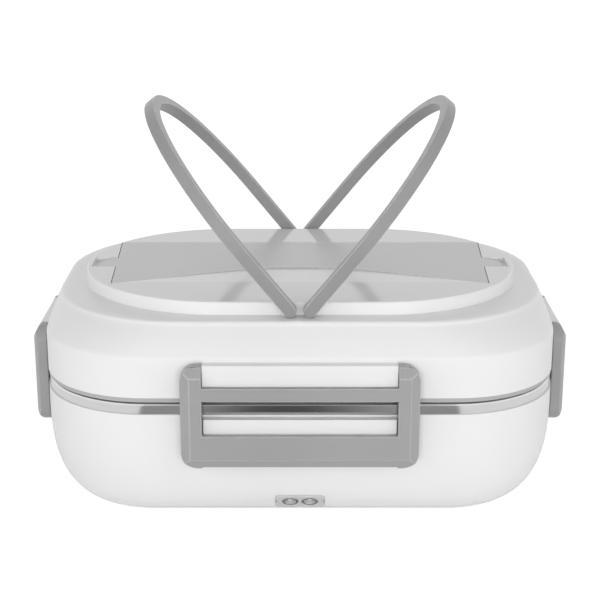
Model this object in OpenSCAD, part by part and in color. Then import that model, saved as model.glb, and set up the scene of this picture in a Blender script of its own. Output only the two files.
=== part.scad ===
// Electric lunch box: a white base and lid with rounded corners, four swing latches,
// two folding handles, a steel food container and a cutlery compartment under a cover.
// Millimetres, +Z up, the front faces -Y. The origin is on the table, under the middle of the base.

/* [Body] */
// Width of base and lid over their side walls
body_w = 230; // [216:1:250]
// Depth of base and lid over their front and back walls
body_d = 171; // [166:1:182]
// Corner radius of the plan outline
body_corner_r = 48.5; // [47.5:0.5:49.5]
// Wall thickness of the white mouldings
shell_wall = 2.4; // [2.2:0.1:2.6]
// Height that the rubber feet stand out below the base
foot_drop = 1.5; // [1.2:0.1:2]
// Height of the base's top edge above the table
base_top = 55; // [54.6:0.1:55.6]
// Height at which the base's side walls start to curve inwards
side_z = 46; // [44:0.5:48]
// Distance that the bottom rounding draws in from the side walls
bottom_inset = 29; // [26:0.5:30]
// Fullness of the bottom rounding: 2 is an ellipse, more is squarer
bottom_power = 2.5; // [2.3:0.05:2.7]

/* [Container] */
// Height of the container's flange, which shows as the bright band
band_h = 5; // [4.6:0.1:5.4]
// Sheet thickness of the steel container
sheet_t = 0.8; // [0.6:0.1:1]
// Distance of the band behind the white walls
band_inset = 0.6; // [0.5:0.05:0.7]
// Width of the container's flange
flange_w = 8.4; // [8:0.1:9]
// Height of the container's underside above the table
container_floor = 22; // [21.8:0.1:22.4]
// Radius between the container's wall and floor
container_fillet = 17; // [15:0.5:18]

/* [Lid] */
// Height of the seal that shows between band and lid
seal_h = 2.6; // [2.4:0.1:3]
// Height of the lid's upright wall
lid_wall_h = 18.4; // [18:0.1:19]
// Rise of the sloping shoulder above the upright wall
shoulder_rise = 13; // [12.6:0.1:13.4]
// Width over which the shoulder draws in at the sides
shoulder_in_x = 4; // [3.6:0.1:4.4]
// Width over which the shoulder draws in at front and back
shoulder_in_y = 9.8; // [9.6:0.1:10]
// Corner radius of the shoulder's upper edge
ledge_corner_r = 60; // [58:0.5:64]
// Width of the rounded lip between shoulder and ledge at the sides
lip_w = 5; // [3:0.1:6]
// Rise of the oval crown above the ledge
crown_rise = 5.6; // [5.4:0.1:6]
// Draw of the crown's wall from foot to top edge
crown_draft = 0.7; // [0.5:0.1:0.9]
// Radius of the crown's top edge
crown_edge_r = 0.8; // [0.6:0.1:1]

/* [Handles] */
// Radius of the handle's bow along its middle line
bow_r = 69.3; // [69.1:0.1:69.5]
// Length of the handle's straight legs
leg_l = 31; // [29:0.5:33]
// Thickness of the handle band
band_t = 5.7; // [5.4:0.1:5.8]
// Width of the handle band in the plane of the bow
band_w = 5.2; // [5:0.1:5.4]
// Radius of the handle band's edges
band_edge_r = 0.7; // [0.4:0.1:1]
// Distance between the two handles' pivots
pivot_gap = 8.8; // [8.4:0.1:9.4]
// Angle at which the handles stand above the lid
handle_angle = 50.8; // [45:0.1:60]
// Radius of the handles' pivot pins
handle_pin_r = 1.5; // [1.3:0.05:1.6]
// Length of the handles' pivot pins
handle_pin_l = 3.2; // [2.8:0.1:3.6]

/* [Latches] */
// Width of the front and back latches
latch_w = 102; // [96:1:106]
// Width of the side latches
side_latch_w = 58; // [54:1:64]
// Distance by which the side latches sit lower than the front and back ones
side_latch_lower = 2.9; // [0:0.1:3]
// Distance by which the side latches stand further out than the front and back ones
side_latch_further = 1.9; // [0:0.1:2]
// Distance of the latch face from the wall
latch_out = 7.2; // [7:0.1:7.4]
// Height of the latches' lower edge above the table
latch_bottom = 31.9; // [31:0.1:32.6]
// Width of a latch's ears
ear_w = 9.2; // [8.8:0.1:9.6]
// Corner radius of the latch outline
latch_corner_r = 7.5; // [6.5:0.5:8]
// Height of the window in the latch
window_h = 15.8; // [15:0.1:16]
// Height of the bar above the window
crossbar_h = 6; // [5.8:0.1:6.1]
// Height of the bar below the window
lower_bar_h = 15.9; // [15.4:0.1:16.2]
// Thickness of the latch's front plate
latch_plate = 2.6; // [2.4:0.1:2.7]
// Width of the bevel down the latch's sides
side_bevel_w = 4; // [3:0.1:5]
// Depth of the bevel down the latch's sides
side_bevel_d = 1.8; // [1.4:0.1:2.2]
// Distance of the latch's hinge line from the wall
hinge_out = 3; // [2.95:0.05:3.2]
// Distance of the latch's hinge line below the top of the lid's upright wall
hinge_drop = 4.8; // [4.6:0.1:5]
// Radius of the latch's hinge pins
latch_pin_r = 1.4; // [1.2:0.05:1.5]
// Length of the latch's hinge pins
latch_pin_l = 3.5; // [3:0.1:4]
// Distance that the lid's lugs stand out from the wall
lug_out = 4.5; // [4.4:0.05:4.6]
// Distance that the base's catch ribs stand out from the wall
rib_out = 3.8; // [3.6:0.1:4]
// Height of the catch ribs
rib_h = 7.4; // [7:0.1:7.6]

/* [Cutlery cover] */
// Width of the cover along its back edge
cover_w = 178; // [172:1:180]
// Width of the cover across its front corners
cover_front_w = 171; // [168:1:173]
// Distance of the cover's back edge from the middle line
cover_back = 36.5; // [35:0.5:37]
// Distance of the cover's front corners from the middle line
cover_front = 36.6; // [35:0.1:38]
// Slope of the cover's front edge in degrees
cover_slope = 23.3; // [22.8:0.1:24]
// Radius of the curve at the middle of the cover's front edge
cover_nose_r = 90; // [80:1:95]
// Thickness of the cover
cover_t = 2; // [1.8:0.1:2.2]
// Gap round the cover
cover_gap = 0.3; // [0.2:0.05:0.4]
// Width of the cover's snap tongues
tongue_w = 16; // [14:0.5:18]
// Distance of the tongues' ends from the middle
tongue_reach = 96.5; // [95:0.5:97]
// Depth of the finger scoop at the middle of the cover's front edge
scoop_drop = 1; // [0.8:0.1:1.6]
// Distance of the scoop's near edge in front of the middle line
scoop_front = 27; // [25:0.5:29]
// Radius of the scoop's near edge in plan
scoop_r = 420; // [380:10:480]
// Depth of the cutlery compartment below the cover
pocket_depth = 15.6; // [13:0.1:16.5]
// Length of the cutlery compartment
pocket_l = 160; // [150:1:164]
// Distance of the compartment's back wall from the middle line
pocket_back = 33; // [30:0.5:33.5]
// Distance of the compartment's front wall from the middle line
pocket_front = 6; // [3:0.5:7]

/* [Inlet] */
// Distance between the inlet's two round pins
inlet_pitch = 8.6; // [8.4:0.1:8.8]
// Width of the inlet's bezel
bezel_w = 22; // [21:0.1:24]
// Height of the inlet's bezel along the curved wall
bezel_h = 10.2; // [9.6:0.1:10.6]
// Angle at which the inlet faces down
inlet_tilt = 37.4; // [35:0.1:40]
// Height of the middle of the inlet above the table
inlet_z = 10.5; // [10.2:0.1:11]
// Depth of the inlet's body behind the wall
inlet_depth = 9.8; // [9.4:0.1:10]
// Radius of the wells round the inlet's pins
well_r = 3.2; // [3:0.05:3.4]
// Radius of the inlet's pins
inlet_pin_r = 1.2; // [1:0.05:1.3]

/* [Inside] */
// Thickness of the base's inner liner
liner_wall = 1.6; // [1.4:0.1:1.8]
// Distance of the liner's wall behind the white walls
liner_inset = 6; // [5.6:0.1:6.4]
// Width of the heating plate
plate_w = 156; // [146:1:160]
// Depth of the heating plate
plate_d = 98; // [90:1:100]
// Thickness of the heating plate's rim
plate_t = 1.4; // [1.2:0.1:1.5]
// Length of a heating block
heater_l = 34; // [30:1:40]
// Width of a heating block
heater_w = 18; // [15:0.5:22]
// Thickness of a heating block
heater_t = 6; // [5.6:0.1:6.2]
// Distance between the middles of the two heating blocks
heater_pitch = 60; // [54:1:66]
// Radius of the thermostat's can
thermostat_r = 7; // [6:0.1:8]
// Radius of the thermal fuse
fuse_r = 1.8; // [1.5:0.1:2.2]
// Radius of the leads
lead_r = 1; // [0.8:0.05:1]
// Radius of the leads' bends along their middle line
lead_bend_r = 2; // [1.8:0.1:2.2]
// Radius of the screws' shanks
screw_r = 1.4; // [1.2:0.1:1.6]
// Radius of the rubber feet
foot_r = 7; // [5:0.5:8]

/* [Hidden] */
$fn = 64;
smooth_fn = 96;
white = [0.93, 0.93, 0.92];
grey = [0.62, 0.62, 0.62];
pale_grey = [0.78, 0.78, 0.77];
dark_grey = [0.25, 0.25, 0.26];
steel = [0.72, 0.72, 0.72];
aluminium = [0.8, 0.8, 0.8];
rubber_grey = [0.45, 0.45, 0.45];
brass = [0.8, 0.65, 0.35];

// Clearances
slip = 0.06;
seat_gap = 0.2;
cut = 1;
deep_cut = 20;
slice_t = 0.01;

// Heights
band_top = base_top + band_h;
lid_bottom = band_top + seal_h;
wall_top = lid_bottom + lid_wall_h;
ledge_z = wall_top + shoulder_rise;
crown_top = ledge_z + crown_rise;

// Half sizes of the plan outlines
half_x = body_w / 2;
half_y = body_d / 2;
corner_x = half_x - body_corner_r;
corner_y = half_y - body_corner_r;
ledge_x = half_x - shoulder_in_x;
ledge_y = half_y - shoulder_in_y;
wall_turn = 0.7;
wall_lap = 0.1;
turn_in_x = 0.4;
turn_in_y = 0.6;
turn_rise = 0.8;
lip_r = 1.8;
lip_turn = 0.8;
lip_in_y = 0.4;
lip_flare = 4;
lid_wall_cut = wall_top - 2;

// The crown hugs the inner edge of the folded handles
crown_gap = 0.4;
crown_r = bow_r - band_w / 2 - crown_gap;
crown_flat_y = 0.2;
crown_x = pivot_gap / 2 + leg_l + crown_r;
crown_y = crown_r + crown_flat_y;
handle_z = ledge_z + band_t / 2 + seat_gap;

// Latch heights, worked out from the hinge line down
hinge_z = wall_top - hinge_drop;
ear_r = hinge_out - seat_gap;
window_z = latch_bottom + lower_bar_h;
crossbar_z = window_z + window_h;
notch_z = crossbar_z + crossbar_h;
face_y = latch_out - hinge_out;
plate_back = face_y - latch_plate;
cheek_back = 2.2;
lug_gap = 0.3;
lug_clear_r = 7.5;
rib_gap = 0.5;
wall_bite = 1;
top_bevel_h = 2.4;
bottom_bevel_h = 5;
bottom_bevel_d = 3;
ear_start = 136;
ear_end = 38;
ear_step = 14;
relief_wall = 2.2;
relief_gap = 1.8;
relief_low = 6;
relief_high = 12;
lap = 0.5;
lug_foot = 0.6;
pin_gap = 0.3;
hook_gap = 0.4;
snap_gap = 0.15;
hook_h = 2.6;
rib_top = base_top - 0.8;
rib_bottom = rib_top - rib_h;

// Cover and compartment
cover_z = crown_top - cover_t;
pocket_floor = cover_z - pocket_depth;
pocket_wall = 1.8;
pocket_corner_r = 4;
scoop_under = 2.6;
scoop_side = 1;
tongue_drop = 1.2;
tongue_gap = 2;
crown_skin = 4.2;
crown_ceiling = crown_top - crown_skin;
crown_wall = shell_wall + 1;
skirt_t = 1.4;
skirt_gap = 0.4;
skirt_h = 2.4;
skirt_opening = 7;

// Inlet
inlet_skin = 0.3;
inlet_y = half_y - base_inset(inlet_z) + inlet_skin;
bezel_t = 1.6;
bezel_corner_r = 2.2;
notch_w = 2.6;
notch_d = 0.9;
well_gap = 0.4;
well_wall = 0.7;
well_floor = 1.5;
body_step = 1;
pin_recess = 1;

// Inside
lip_t = 1.1;
liner_flange = 1.6;
liner_z = base_top - liner_flange;
cavity_top = liner_z - 2 * seat_gap;
liner_fillet = 20;
liner_floor = container_floor - 4;
plate_z = liner_floor + liner_wall;
plate_top = container_floor - seat_gap;
plate_rim_z = plate_top - plate_t;
plate_rim_w = 8;
plate_boss_x = plate_w / 2 - plate_rim_w;
plate_boss_y = plate_d / 2 - plate_rim_w;
plate_under = liner_floor - seat_gap;
plate_corner_r = 20;
plate_boss_r = plate_corner_r - plate_rim_w;
heater_z = plate_under - heater_t;
clamp_t = 1.2;
clamp_z = heater_z - clamp_t;
screw_margin = 10;
clamp_x = heater_pitch / 2 + heater_l / 2 + screw_margin;
strap_half = heater_w / 3;
strap_over = 1;
post_r = 4;
head_r = 3;
head_h = 1.6;
recess_l = 3.6;
recess_w = 0.8;
recess_d = 0.7;
tip_gap = 1;
screw_x = plate_boss_x + screw_margin;
screw_y = plate_boss_y / 2;
boss_r = 3.8;
boss_bottom = 7;
foot_x = corner_x;
foot_y = corner_y;
foot_seat = 0.9;
bottom_steps = 14;
fillet_steps = 8;

// How far the base's wall lies inside the plan outline at height z
function base_inset(z) =
    z >= side_z ? 0 :
    bottom_inset * (1 - pow(1 - pow((side_z - z) / (side_z - foot_drop), bottom_power), 1 / bottom_power));

// Profile of the bottom rounding from side_z down to floor_z, set in by extra
function bottom_profile(extra, floor_z) = [
    for (i = [0:bottom_steps])
        let (t = 90 * i / bottom_steps)
        [extra + bottom_inset * (1 - pow(cos(t), 2 / bottom_power)),
         side_z - (side_z - floor_z) * pow(sin(t), 2 / bottom_power)]
];

// Quarter arc from an upright wall at inset down to a floor at z
function fillet_profile(inset, z, r) = [
    for (i = [0:fillet_steps])
        let (t = 90 * i / fillet_steps)
        [inset + r * (1 - cos(t)), z + r * (1 - sin(t))]
];

// Quarter arc from a flat top at z out to an upright wall at inset
function edge_profile(inset, z, r) = [
    for (i = [0:fillet_steps])
        let (t = 90 * i / fillet_steps)
        [inset + r * (1 - sin(t)), z - r * (1 - cos(t))]
];

// Solid with a rounded rectangle plan. Its side follows the profile, given from the top down
// as [distance inside the outline, height]; the corners keep one centre at every height.
module plan_solid(hx, hy, r, profile) {
    n = len(profile);
    z_top = profile[0][1];
    z_low = profile[n - 1][1];
    rotate([90, 0, 90])
        linear_extrude(height = 2 * (hx - r), center = true)
            polygon(concat(
                [for (p = profile) [hy - p[0], p[1]]],
                [for (i = [n - 1:-1:0]) [-hy + profile[i][0], profile[i][1]]]));
    rotate([90, 0, 0])
        linear_extrude(height = 2 * (hy - r), center = true)
            polygon(concat(
                [for (p = profile) [hx - p[0], p[1]]],
                [for (i = [n - 1:-1:0]) [-hx + profile[i][0], profile[i][1]]]));
    for (k = [0:3])
        let (sx = k == 0 || k == 3 ? 1 : -1, sy = k < 2 ? 1 : -1)
        translate([sx * (hx - r), sy * (hy - r), 0])
            rotate([0, 0, 90 * k])
                rotate_extrude(angle = 90)
                    polygon(concat([for (p = profile) [r - p[0], p[1]]], [[0, z_low], [0, z_top]]));
}

// The same for the body's own outline
module body_solid(profile) {
    plan_solid(half_x, half_y, body_corner_r, profile);
}

// Upright prism between two heights, set in from the body's outline
module body_prism(inset, z0, z1) {
    body_solid([[inset, z1], [inset, z0]]);
}

// Rounded rectangle in plan, half sizes hx and hy
module round_rect(hx, hy, r) {
    square([2 * (hx - r), 2 * hy], center = true);
    square([2 * hx, 2 * (hy - r)], center = true);
    for (sx = [-1, 1], sy = [-1, 1])
        translate([sx * (hx - r), sy * (hy - r)])
            circle(r);
}

// Thin slice of a rounded rectangle at height z, for lofting the shoulder
module slice(hx, hy, r, z) {
    translate([0, 0, z])
        linear_extrude(height = slice_t)
            for (sx = [-1, 1], sy = [-1, 1])
                translate([sx * (hx - r), sy * (hy - r)])
                    circle(r, $fn = smooth_fn);
}

// Cylinder along X through a point
module x_cylinder(r, x0, x1) {
    translate([x0, 0, 0])
        rotate([0, 90, 0])
            cylinder(r = r, h = x1 - x0);
}

// Puts children at each of the four walls: front, right, back, left. The child's -Y faces out.
module at_wall(side) {
    out = side % 2 == 0 ? half_y : half_x + side_latch_further;
    rotate([0, 0, 90 * side])
        translate([0, -out, side % 2 == 0 ? 0 : -side_latch_lower])
            children();
}

function side_latch_width(side) = side % 2 == 0 ? latch_w : side_latch_w;

// Depth to which the rib and lug of one latch reach in behind its datum plane
function root_depth(side) = side % 2 == 0 ? wall_bite : wall_bite + side_latch_further;

// Moves children into the inlet's own frame: local +Z faces out of the wall
module at_inlet() {
    translate([0, -inlet_y, inlet_z])
        rotate([90 + inlet_tilt, 0, 0])
            children();
}

// Catch rib on the base for one latch; the lower corners are rounded
module catch_rib(width, root) {
    rib_half = width / 2 - ear_w - rib_gap;
    corner = 1;
    translate([0, root, 0])
        rotate([90, 0, 0])
            linear_extrude(height = rib_out + root)
                union() {
                    translate([-rib_half, rib_bottom + corner])
                        square([2 * rib_half, rib_h - corner]);
                    translate([-rib_half + corner, rib_bottom])
                        square([2 * (rib_half - corner), rib_h]);
                    for (s = [-1, 1])
                        translate([s * (rib_half - corner), rib_bottom + corner])
                            circle(corner);
                }
}

module base_shell() {
    color(white)
        difference() {
            union() {
                body_solid(
                    concat([[0, base_top]], bottom_profile(0, foot_drop)));
                for (side = [0:3])
                    at_wall(side)
                        catch_rib(side_latch_width(side), root_depth(side));
            }
            body_solid(
                concat([[shell_wall, cavity_top]], bottom_profile(shell_wall, foot_drop + shell_wall)));
            body_prism(shell_wall, liner_z - cut, base_top + cut);
            body_prism(lip_t, liner_z, base_top + cut);
            at_inlet()
                translate([0, 0, -inlet_depth])
                    linear_extrude(height = inlet_depth + 2 * cut)
                        round_rect(bezel_w / 2 + slip, bezel_h / 2 + slip, bezel_corner_r);
            for (sx = [-1, 1], sy = [-1, 1]) {
                translate([sx * foot_x, sy * foot_y, foot_drop - cut])
                    cylinder(r = foot_r + slip, h = foot_seat + cut);
                translate([sx * screw_x, sy * screw_y, foot_drop - cut])
                    cylinder(r = screw_r + slip, h = shell_wall + 2 * cut);
                translate([sx * screw_x, sy * screw_y, foot_drop - cut])
                    cylinder(r = head_r + seat_gap, h = head_h / 2 + cut);
            }
        }
}

module base_liner() {
    wall = liner_inset + liner_wall;
    color(pale_grey)
        difference() {
            union() {
                body_solid(
                    concat([[liner_inset, base_top - seat_gap]],
                        fillet_profile(liner_inset, liner_floor, liner_fillet)));
                body_prism(lip_t + seat_gap, liner_z, base_top - seat_gap);
                for (sx = [-1, 1], sy = [-1, 1])
                    translate([sx * screw_x, sy * screw_y, boss_bottom])
                        cylinder(r = boss_r, h = liner_floor - boss_bottom + liner_wall);
            }
            body_solid(
                concat([[wall, base_top + cut]],
                    fillet_profile(wall, liner_floor + liner_wall, liner_fillet - liner_wall)));
            translate([0, 0, liner_floor - cut])
                linear_extrude(height = liner_wall + 2 * cut)
                    round_rect(plate_boss_x + seat_gap, plate_boss_y + seat_gap, plate_boss_r);
            for (sx = [-1, 1], sy = [-1, 1])
                translate([sx * screw_x, sy * screw_y, boss_bottom - cut])
                    cylinder(r = screw_r + slip, h = liner_floor - boss_bottom + cut);
        }
}

module feet() {
    color(rubber_grey)
        for (sx = [-1, 1], sy = [-1, 1])
            translate([sx * foot_x, sy * foot_y, 0])
                cylinder(r = foot_r, h = foot_drop + foot_seat);
}

// Pan head screw with a cross recess, its head at z and its tip at z + length
module screw(z, length) {
    translate([0, 0, z])
        difference() {
            union() {
                cylinder(r = head_r, h = head_h);
                cylinder(r = screw_r, h = length);
            }
            for (turn = [0, 90])
                rotate([0, 0, turn])
                    cube([recess_l, recess_w, 2 * recess_d], center = true);
        }
}

module base_screws() {
    head_z = foot_drop + head_h / 2 - head_h;
    color(steel)
        for (sx = [-1, 1], sy = [-1, 1])
            translate([sx * screw_x, sy * screw_y, 0])
                screw(head_z, liner_floor - head_z - tip_gap);
}

module heating_plate() {
    color(aluminium) {
        difference() {
            union() {
                translate([0, 0, plate_rim_z])
                    linear_extrude(height = plate_t)
                        round_rect(plate_w / 2, plate_d / 2, plate_corner_r);
                translate([0, 0, plate_under])
                    linear_extrude(height = plate_top - plate_under)
                        round_rect(plate_boss_x, plate_boss_y, plate_boss_r);
                for (s = [-1, 1])
                    translate([s * clamp_x, 0, heater_z])
                        cylinder(r = post_r, h = heater_t + cut);
            }
            for (s = [-1, 1])
                translate([s * clamp_x, 0, heater_z - cut])
                    cylinder(r = screw_r + slip, h = heater_t + cut);
        }
    }
}

module plate_seal() {
    color(dark_grey)
        difference() {
            translate([0, 0, plate_z])
                linear_extrude(height = plate_rim_z - plate_z)
                    round_rect(plate_w / 2, plate_d / 2, plate_corner_r);
            translate([0, 0, plate_z - cut])
                linear_extrude(height = plate_rim_z - plate_z + 2 * cut)
                    round_rect(plate_boss_x + seat_gap, plate_boss_y + seat_gap, plate_boss_r);
        }
}

module heating_blocks() {
    color(dark_grey)
        for (s = [-1, 1])
            translate([s * heater_pitch / 2 - heater_l / 2, -heater_w / 2, heater_z])
                cube([heater_l, heater_w, heater_t]);
}

module heater_clamp() {
    strap_x = clamp_x + post_r + strap_over;
    color(steel)
        difference() {
            translate([-strap_x, -strap_half, clamp_z])
                cube([2 * strap_x, 2 * strap_half, clamp_t]);
            for (s = [-1, 1])
                translate([s * clamp_x, 0, clamp_z - cut])
                    cylinder(r = screw_r + slip, h = clamp_t + 2 * cut);
        }
}

module clamp_screws() {
    color(steel)
        for (s = [-1, 1])
            translate([s * clamp_x, 0, 0])
                screw(clamp_z - head_h, head_h + clamp_t + heater_t - tip_gap / 2);
}

// The thermostat and fuse lie against the underside of the heating plate
thermostat_h = 3.6;
thermostat_gap = 4;
thermostat_y = heater_w / 2 + thermostat_r + thermostat_gap;
flange_t = 1;
flange_reach = 5;
flange_half = 4;
tab_w = 2;
tab_d = 4;
tab_h = 2.4;
tab_z = plate_under - thermostat_h - tab_h / 2;
fuse_l = 12;
fuse_gap = 8;
fuse_rest = 0.05;
fuse_y = -(heater_w / 2 + fuse_gap + fuse_l / 2);
fuse_z = plate_under - fuse_r - fuse_rest;

module thermostat() {
    color(dark_grey)
        translate([0, thermostat_y, plate_under - thermostat_h]) {
            cylinder(r = thermostat_r, h = thermostat_h);
            translate([0, 0, thermostat_h - flange_t])
                linear_extrude(height = flange_t)
                    round_rect(thermostat_r + flange_reach, flange_half, flange_half - flange_t);
            for (s = [-1, 1])
                translate([s * inlet_pitch / 2 - tab_w / 2, -tab_d / 2, -tab_h])
                    cube([tab_w, tab_d, tab_h]);
        }
}

module thermal_fuse() {
    color(steel)
        translate([-inlet_pitch / 2, fuse_y + fuse_l / 2, fuse_z])
            rotate([90, 0, 0])
                cylinder(r = fuse_r, h = fuse_l);
}

// Round lead that starts at the origin along +X and stays in the XY plane.
// Each step is the length of a straight run and the turn that follows it, left positive.
// The bends are a little thicker than the runs, which reach into them.
module lead(steps, i = 0) {
    length = steps[i][0];
    turn = steps[i][1];
    start = i > 0 ? -lead_lap : 0;
    end = turn != 0 ? length + lead_lap : length;
    x_cylinder(lead_r, start, end);
    if (turn != 0)
        translate([length, 0, 0]) {
            mirror([0, turn < 0 ? 1 : 0, 0])
                translate([0, lead_bend_r, 0])
                    rotate([0, 0, -90])
                        rotate_extrude(angle = abs(turn))
                            translate([lead_bend_r, 0])
                                circle(lead_r + lead_swell);
            translate([lead_bend_r * sin(abs(turn)), sign(turn) * lead_bend_r * (1 - cos(turn)), 0])
                rotate([0, 0, turn])
                    lead(steps, i + 1);
        }
}

// The leads leave the pins along the inlet's axis, dip under the liner and level out
terminal_l = 1.2;
pin_depth = inlet_depth + terminal_l;
pin_tip_y = -inlet_y + pin_depth * cos(inlet_tilt);
pin_tip_z = inlet_z + pin_depth * sin(inlet_tilt);
lead_stub = 0.3;
lead_lap = 0.25;
lead_swell = 0.06;
lead_clear = 1.2;
lead_dip = 40;
lead_low_z = clamp_z - lead_r - lead_clear;
bend_fall = lead_bend_r * (1 - cos(lead_dip));
first_fall = lead_bend_r * (cos(inlet_tilt) - cos(lead_dip)) - lead_stub * sin(inlet_tilt);
first_run = lead_stub * cos(inlet_tilt) + lead_bend_r * (sin(inlet_tilt) + sin(lead_dip));

// Length of the slope that brings a lead from the pin's tip down to height z
function slope_to(z) = (pin_tip_z - first_fall - bend_fall - z) / sin(lead_dip);

// Where a lead that has dipped to height z becomes level
function level_y(z) = pin_tip_y + first_run + slope_to(z) * cos(lead_dip) + lead_bend_r * sin(lead_dip);

module dipping_lead(x, steps) {
    translate([x, pin_tip_y, pin_tip_z])
        rotate([90, 0, 90])
            rotate([0, 0, inlet_tilt])
                lead(steps);
}

module lead_live() {
    color([0.55, 0.25, 0.2]) {
        dipping_lead(-inlet_pitch / 2, [
            [lead_stub, -inlet_tilt - lead_dip],
            [slope_to(fuse_z), lead_dip],
            [fuse_y - fuse_l / 2 - level_y(fuse_z), 0]
        ]);
        translate([-inlet_pitch / 2, fuse_y + fuse_l / 2, fuse_z])
            rotate([0, 0, 90])
                lead([
                    [lead_stub, -90],
                    [heater_pitch / 2 + inlet_pitch / 2 - 2 * lead_bend_r, 90],
                    [-heater_w / 2 - fuse_y - fuse_l / 2 - lead_stub - 2 * lead_bend_r, 0]
                ]);
    }
}

module lead_neutral() {
    climb = (tab_z - lead_low_z - 2 * bend_fall) / sin(lead_dip);
    climb_run = climb * cos(lead_dip) + 2 * lead_bend_r * sin(lead_dip);
    tab_front = thermostat_y - tab_d / 2;
    color([0.2, 0.3, 0.55]) {
        dipping_lead(inlet_pitch / 2, [
            [lead_stub, -inlet_tilt - lead_dip],
            [slope_to(lead_low_z), lead_dip],
            [tab_front - tip_gap - climb_run - level_y(lead_low_z), lead_dip],
            [climb, -lead_dip],
            [tip_gap, 0]
        ]);
        translate([-inlet_pitch / 2 - tab_w / 2, thermostat_y, tab_z])
            rotate([0, 0, 180])
                lead([
                    [heater_pitch / 2 - inlet_pitch / 2 - tab_w / 2 - lead_bend_r, 90],
                    [thermostat_y - heater_w / 2 - lead_bend_r, 0]
                ]);
    }
}

module inlet_bezel() {
    color(grey)
        at_inlet()
            difference() {
                translate([0, 0, -bezel_t])
                    linear_extrude(height = bezel_t)
                        round_rect(bezel_w / 2, bezel_h / 2, bezel_corner_r);
                for (s = [-1, 1]) {
                    translate([s * inlet_pitch / 2, 0, -bezel_t - cut])
                        cylinder(r = well_r + well_gap, h = bezel_t + 2 * cut);
                    translate([s * bezel_w / 2, 0, 0])
                        cube([2 * notch_d, notch_w, notch_d], center = true);
                }
                translate([0, -bezel_h / 2, 0])
                    cube([notch_w, 2 * notch_d, notch_d], center = true);
            }
}

module inlet_body() {
    color(pale_grey)
        at_inlet()
            difference() {
                union() {
                    translate([0, 0, -inlet_depth])
                        linear_extrude(height = inlet_depth - bezel_t)
                            round_rect(bezel_w / 2 - body_step, bezel_h / 2 - body_step,
                                bezel_corner_r - body_step);
                    for (s = [-1, 1])
                        translate([s * inlet_pitch / 2, 0, -bezel_t - lap])
                            cylinder(r = well_r, h = bezel_t + lap - seat_gap);
                }
                for (s = [-1, 1]) {
                    translate([s * inlet_pitch / 2, 0, -inlet_depth + well_floor])
                        cylinder(r = well_r - well_wall, h = inlet_depth + cut);
                    translate([s * inlet_pitch / 2, 0, -inlet_depth - cut])
                        cylinder(r = inlet_pin_r + slip, h = inlet_depth);
                }
            }
}

module inlet_pins() {
    color(brass)
        at_inlet()
            for (s = [-1, 1])
                translate([s * inlet_pitch / 2, 0, -pin_depth])
                    cylinder(r = inlet_pin_r, h = pin_depth - pin_recess);
}

module steel_container() {
    bowl_inset = band_inset + flange_w;
    wall_draw = 1;
    rolled_edge = 1.2;
    mouth_drop = 0.6;
    color(steel)
        difference() {
            union() {
                difference() {
                    body_solid(
                        concat(edge_profile(band_inset, band_top, rolled_edge), [[band_inset, base_top]]));
                    body_prism(band_inset + sheet_t, base_top - cut, band_top - sheet_t);
                }
                body_solid(
                    concat([[bowl_inset, band_top - sheet_t / 2]],
                        fillet_profile(bowl_inset + wall_draw, container_floor, container_fillet)));
            }
            body_solid(
                concat(
                    [[bowl_inset + sheet_t - cut, band_top + cut],
                     [bowl_inset + sheet_t, band_top - mouth_drop]],
                    fillet_profile(bowl_inset + sheet_t + wall_draw, container_floor + sheet_t,
                        container_fillet - sheet_t)));
        }
}

// Outline of the cover in plan, grown by a gap
function cover_outline(gap) =
    let (
        tan_s = tan(cover_slope),
        back_x = cover_w / 2 + gap,
        front_x = cover_front_w / 2 + gap,
        nose_x = cover_nose_r * sin(cover_slope),
        nose_y = -cover_front + (cover_front_w / 2 - nose_x) * tan_s,
        steps = 12
    )
    concat(
        [[-back_x, cover_back + gap], [-front_x, -cover_front - gap]],
        [for (i = [0:steps])
            let (a = -cover_slope + 2 * cover_slope * i / steps)
            [cover_nose_r * sin(a), nose_y - gap + cover_nose_r * (cos(a) - cos(cover_slope))]],
        [[front_x, -cover_front - gap], [back_x, cover_back + gap]]);

module cover_plate(gap, z0, z1) {
    translate([0, 0, z0])
        linear_extrude(height = z1 - z0)
            polygon(cover_outline(gap));
}

// Middle of the cover's front edge
cover_nose_y = -cover_front + (cover_front_w / 2 - cover_nose_r * sin(cover_slope)) * tan(cover_slope)
    + cover_nose_r * (1 - cos(cover_slope));

// Scoop in front of the cover: a shallow cone about an upright axis far in front of the lid
module finger_scoop() {
    reach = scoop_front + cover_nose_y + scoop_under;
    fall = scoop_drop / (scoop_front + cover_nose_y);
    intersection() {
        translate([0, -scoop_front - scoop_r, 0])
            rotate_extrude($fn = 256)
                polygon([
                    [scoop_r, crown_top],
                    [scoop_r + reach, crown_top - reach * fall],
                    [scoop_r + reach, crown_top + cut],
                    [scoop_r, crown_top + cut]
                ]);
        translate([-cover_front_w / 2 + scoop_side, -cover_front, crown_top - 2 * scoop_drop])
            cube([cover_front_w - 2 * scoop_side, cover_front - pocket_front + cut,
                2 * scoop_drop + 2 * cut]);
    }
}

module latch_lug(width, root) {
    lug_half = width / 2 - ear_w - lug_gap;
    lug_z = hinge_z - lug_clear_r + lug_foot;
    lug_top = hinge_z + ear_r - seat_gap;
    difference() {
        translate([-lug_half, -lug_out, lug_z])
            cube([2 * lug_half, lug_out + root, lug_top - lug_z]);
        for (s = [-1, 1])
            translate([s * lug_half, -hinge_out, hinge_z])
                x_cylinder(latch_pin_r + slip, -latch_pin_l - pin_gap, latch_pin_l + pin_gap);
    }
}

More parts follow.
